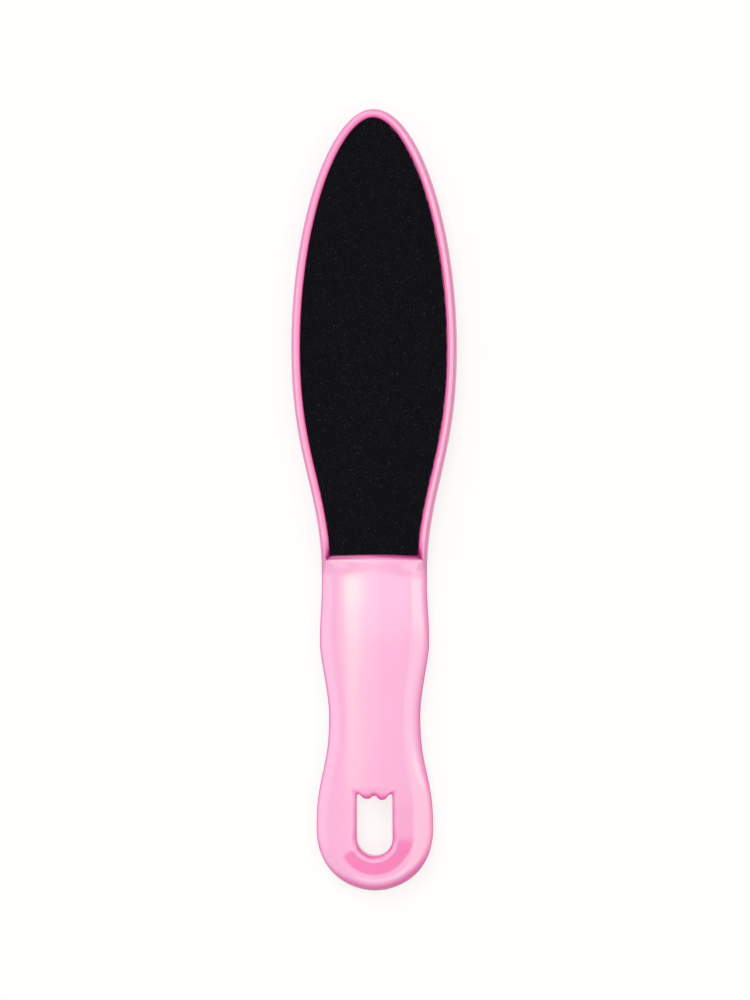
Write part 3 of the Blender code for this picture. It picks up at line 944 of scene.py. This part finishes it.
# Grit: resin and mineral, the same finish at two grades
gritLook = {
    "coarse": {
        "scale": 2600.0, "share": 0.6,
        "colour": (0.002, 0.0017, 0.0036, 1), "speck": (0.014, 0.013, 0.018, 1),
    },
    "fine": {
        "scale": 4200.0, "share": 0.58,
        "colour": (0.0025, 0.0022, 0.004, 1), "speck": (0.015, 0.014, 0.018, 1),
    },
    "grainColour": (0.0016, 0.0015, 0.0021, 1),
    # painted glint: the lighter colour of the few bright grains
    "glintColour": (0.08, 0.079, 0.085, 1),
    "roughness": 0.8,
    "grainRoughness": 0.4,
    "speckRoughness": -0.25,  # added on a speck
    "speckSharpness": 12.0,
    "bumpStrength": 0.8,
    "bumpHeight": 0.00008,  # m
    "fixed": {"Specular IOR Level": 0.06},
}


def gritGroup():
    # mineral specks in dark resin: colour and roughness from a noise, and height from cells
    group, entry, leave = newGroup(
        "gritSpeckle",
        {"Vector": "Vector", "Scale": "Float", "Resin": "Color", "Speck": "Color",
         "Threshold": "Float", "Roughness": "Float"},
        {"Color": "Color", "Roughness": "Float", "Height": "Float"},
    )
    cells = newNode(group, "ShaderNodeTexVoronoi", {"Vector": entry["Vector"], "Scale": entry["Scale"]})
    noise = noiseFrom(group, entry["Vector"], entry["Scale"], 2.0)
    over = calculate(group, "SUBTRACT", noise, entry["Threshold"])
    speck = calculate(group, "MULTIPLY", over, gritLook["speckSharpness"], True)
    change = calculate(group, "MULTIPLY", speck, gritLook["speckRoughness"])
    feed(group, leave, {
        "Color": mixColour(group, speck, entry["Resin"], entry["Speck"]),
        "Roughness": calculate(group, "ADD", entry["Roughness"], change),
        "Height": calculate(group, "SUBTRACT", 1.0, cells.outputs["Distance"]),
    })
    return group


def makeGrit(grade, speckle, grains):
    look, shade = gritLook, gritLook[grade]
    name = f"{grade}Grains" if grains else f"{grade}Grit"
    material, tree, shader, coords = newMaterial(name, look["fixed"])
    resin, roughness = shade["colour"], look["roughness"]
    if grains:
        glint = newNode(tree, "ShaderNodeAttribute", attribute_name="glint").outputs["Fac"]
        resin = mixColour(tree, glint, look["grainColour"], look["glintColour"])
        roughness = look["grainRoughness"]
    specks = placeGroup(tree, speckle, {
        "Vector": coords, "Scale": shade["scale"], "Resin": resin, "Speck": shade["speck"],
        "Threshold": shade["share"], "Roughness": roughness})
    feed(tree, shader, {"Base Color": specks["Color"], "Roughness": specks["Roughness"]})
    if not grains:
        addBump(tree, shader, specks["Height"], look["bumpStrength"], look["bumpHeight"])
    return material


# Layers under the grit, seen only as an edge
layerLook = {
    "cloth": (0.055, 0.045, 0.04, 1),
    "clothClouds": (400.0, 0.6),
    "clothFixed": {"Roughness": 0.9},
    "threadScale": 120.0,
    "threadStrength": 0.7,
    "threadHeight": 0.00006,  # m
    "film": (0.32, 0.22, 0.14, 1),
    "filmClouds": (300.0, 0.3),
    "filmPatches": (0.3, 0.7),  # of the clouds, over which the roughness grows
    "filmRoughness": (0.35, 0.6),
}


def makeCloth(mottle):
    look = layerLook
    material, tree, shader, coords = newMaterial("backingCloth", look["clothFixed"])
    clouds = addClouds(tree, mottle, coords, look["cloth"], look["clothClouds"])
    values = {"Vector": coords, "Scale": look["threadScale"], "Distortion": 1.0}
    across, along = (
        newNode(tree, "ShaderNodeTexWave", values, bands_direction=way).outputs["Fac"]
        for way in ("X", "Y")
    )
    weave = calculate(tree, "MAXIMUM", across, along)
    addBump(tree, shader, weave, look["threadStrength"], look["threadHeight"])
    feed(tree, shader, {"Base Color": clouds["Color"]})
    return material


def makeFilm(mottle):
    look = layerLook
    material, tree, shader, coords = newMaterial("adhesiveFilm", {})
    clouds = addClouds(tree, mottle, coords, look["film"], look["filmClouds"])
    rough = mapRange(tree, clouds["Value"], look["filmPatches"], look["filmRoughness"])
    feed(tree, shader, {"Base Color": clouds["Color"], "Roughness": rough})
    return material


# Studio: white floor and world, a soft key lamp beyond the tip, panels overhead and at both sides
studio = {
    "floorSize": 8.0,  # m
    "floorDrop": 0.00005,
    "far": (0.6, 2.0),  # m from the middle, over which the floor turns plain white
    "floorColour": (0.28, 0),  # near and far
    "floorGlow": (0.72, 1),
    "horizon": (-0.2, 0.2),
    "skyLevels": (0.7, 0.29),  # below and above it
    "skyLean": (-0.15, 0.09, 0),  # how much brighter the sky is towards +X, +Y and +Z
    "wattsPerArea": 4,  # for a radiance of 1
    "plain": (1, 1, 1),
    "warm": (1, 0.97, 0.3),
    "mild": (1, 0.98, 0.72),
    "lamps": {
        # place, what it points at, size across and along, radiance, colour
        "keySoftbox": ((-0.7, 1.5, 1.6), (0, 0, 0), (1.3, 1.0), 2.4, "plain"),
        "ceilingPanel": ((0, 0.5, 2.2), (0, 0.5, 0), (1.9, 1.28), 1.1, "plain"),
        "leftWall": ((-1.9, 0, 0.9), (0, 0, 0), (1.4, 1.0), 0.7, "plain"),
        "rightWall": ((1.9, -0.3, 0.9), (0, -0.3, 0), (1.4, 1.0), 0.4, "plain"),
        "endPanel": ((0.2, -1.0, 1.9), (0.1, -0.2, 0), (2.0, 0.9), 1.1, "plain"),
        "rightPanel": ((1.27, -0.25, 1.75), (0, -0.25, 0), (0.9, 1.7), 1.05, "mild"),
        "rightFill": ((1.4, 0.25, 1.62), (0, 0.25, 0), (0.8, 0.72), 1.65, "mild"),
        "warmPanel": ((-0.65, -0.01, 2.0), (-0.65, -0.01, 0), (0.4, 0.51), 0.75, "warm"),
        "warmWash": ((-0.42, -0.01, 2.1), (-0.42, -0.01, 0), (0.81, 0.51), 0.45, "warm"),
        "warmFill": ((-0.7, 0.04, 1.95), (-0.7, 0.04, 0), (0.8, 0.41), 0.62, "warm"),
        "warmSpot": ((-0.65, 0.1, 1.9), (-0.65, 0.1, 0), (0.7, 0.32), 0.9, "warm"),
    },
}


def seenDirectly(tree):
    # 1 for the camera's own rays and for those that are mirrored or pass through
    path = newNode(tree, "ShaderNodeLightPath").outputs
    seen = calculate(tree, "MAXIMUM", path["Is Camera Ray"], path["Is Glossy Ray"])
    return calculate(tree, "MAXIMUM", seen, path["Is Transmission Ray"])


def makeFloor():
    look = studio
    corners = np.array([(-1, -1, 0), (1, -1, 0), (1, 1, 0), (-1, 1, 0)]) * look["floorSize"] / 2
    mesh = meshFrom("floor", corners - (0, 0, look["floorDrop"]), np.array([[0, 1, 2, 3]]))
    floor = newObject("floor", mesh)
    material = bpy.data.materials.new("whiteFloor")
    material.use_nodes = True
    tree = material.node_tree
    tree.nodes.clear()
    coords = newNode(tree, "ShaderNodeTexCoord").outputs["Object"]
    away = newNode(tree, "ShaderNodeVectorMath", {0: coords}, operation="LENGTH").outputs["Value"]
    colour, glow = (
        mapRange(tree, away, look["far"], look[name]) for name in ("floorColour", "floorGlow"))
    diffuse = newNode(tree, "ShaderNodeBsdfDiffuse", {"Color": colour})
    emission = newNode(tree, "ShaderNodeEmission", {"Color": (1, 1, 1, 1), "Strength": glow})
    surface = newNode(tree, "ShaderNodeAddShader", {0: diffuse.outputs[0], 1: emission.outputs[0]})
    backfacing = newNode(tree, "ShaderNodeNewGeometry").outputs["Backfacing"]
    shown = calculate(tree, "SUBTRACT", seenDirectly(tree), backfacing, True)
    clear = newNode(tree, "ShaderNodeBsdfTransparent")
    mix = newNode(tree, "ShaderNodeMixShader", {0: shown, 1: clear.outputs[0], 2: surface.outputs[0]})
    newNode(tree, "ShaderNodeOutputMaterial", {"Surface": mix.outputs[0]})
    mesh.materials.append(material)
    print("floor laid")


def makeWorld():
    look = studio
    world = bpy.data.worlds.new("studio")
    bpy.context.scene.world = world
    world.use_nodes = True
    tree = world.node_tree
    tree.nodes.clear()
    direction = newNode(tree, "ShaderNodeTexCoord").outputs["Generated"]
    up = newNode(tree, "ShaderNodeSeparateXYZ", {0: direction}).outputs["Z"]
    level = mapRange(tree, up, look["horizon"], look["skyLevels"])
    lean = newNode(tree, "ShaderNodeVectorMath", {
        0: direction, 1: look["skyLean"]}, operation="DOT_PRODUCT").outputs["Value"]
    strength = newNode(tree, "ShaderNodeMix", {
        0: seenDirectly(tree), 2: calculate(tree, "ADD", level, lean), 3: 1}, data_type="FLOAT")
    background = newNode(tree, "ShaderNodeBackground", {
        "Color": (1, 1, 1, 1), "Strength": strength.outputs[0]})
    newNode(tree, "ShaderNodeOutputWorld", {"Surface": background.outputs[0]})


def makeLamps():
    for name, (place, target, size, radiance, colour) in studio["lamps"].items():
        data = bpy.data.lights.new(name, "AREA")
        data.shape = "RECTANGLE"
        data.size, data.size_y = size
        data.energy = radiance * studio["wattsPerArea"] * size[0] * size[1]
        data.color = studio[colour]
        lamp = newObject(name, data)
        # its back is the way from the target to its place, and its length lies as near +Y as it can
        back = (Vector(place) - Vector(target)).normalized()
        across = Vector((0, 1, 0)).cross(back).normalized()
        turned = Matrix((across, back.cross(across), back)).transposed()
        lamp.matrix_world = Matrix.Translation(place) @ turned.to_4x4()
    print("studio lit by", len(studio["lamps"]), "lamps")


makeCamera()
mottle = mottleGroup()
speckle = gritGroup()
makePaddle(makePinkPlastic(mottle))
cloth, film = makeCloth(mottle), makeFilm(mottle)
for face, grade in (("front", "coarse"), ("rear", "fine")):
    makeSheet(face, {
        "grit_coat": makeGrit(grade, speckle, False),
        "grains": makeGrit(grade, speckle, True),
        "backing_cloth": cloth,
        "adhesive_film": film,
        "slot": f"{grade}_grit",
    })
makeFloor()
makeWorld()
makeLamps()
bpy.context.scene.view_settings.view_transform = "Standard"
